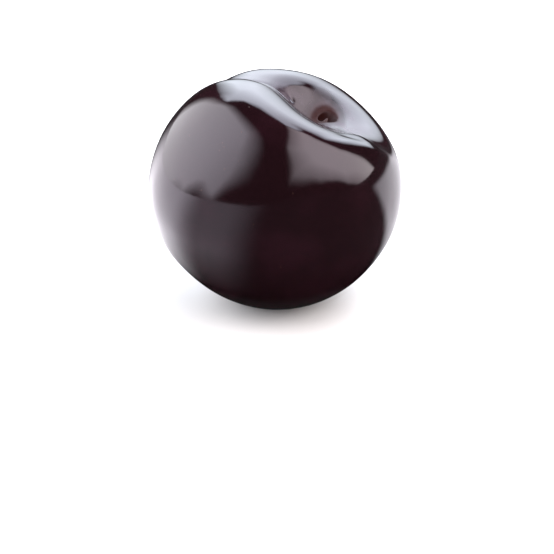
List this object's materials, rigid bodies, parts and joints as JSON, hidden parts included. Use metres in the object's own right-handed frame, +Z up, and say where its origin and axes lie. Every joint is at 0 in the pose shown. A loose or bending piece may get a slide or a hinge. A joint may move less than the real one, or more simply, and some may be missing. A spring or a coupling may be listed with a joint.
{
  "type": "plum",
  "caption": "Whole dark glossy plum without its stem, with a suture groove and a deep stem cavity, lying tilted on a small flat rest spot.",
  "frame": {"origin": "under the middle of the plum's box, at the level of the flat rest spot that it lies on", "axes": "+Z up as the plum lies; the stem end leans 38 degrees from +Z towards +X and a little towards -Y; the suture faces -X and +Y"},
  "size_m": [0.0604, 0.0614, 0.0563],
  "materials": {
    "plum_skin": "smooth waxy skin, near-black aubergine, polished"
  },
  "bodies": {
    "root": {"plum": "plum_skin"}
  },
  "joints": []
}
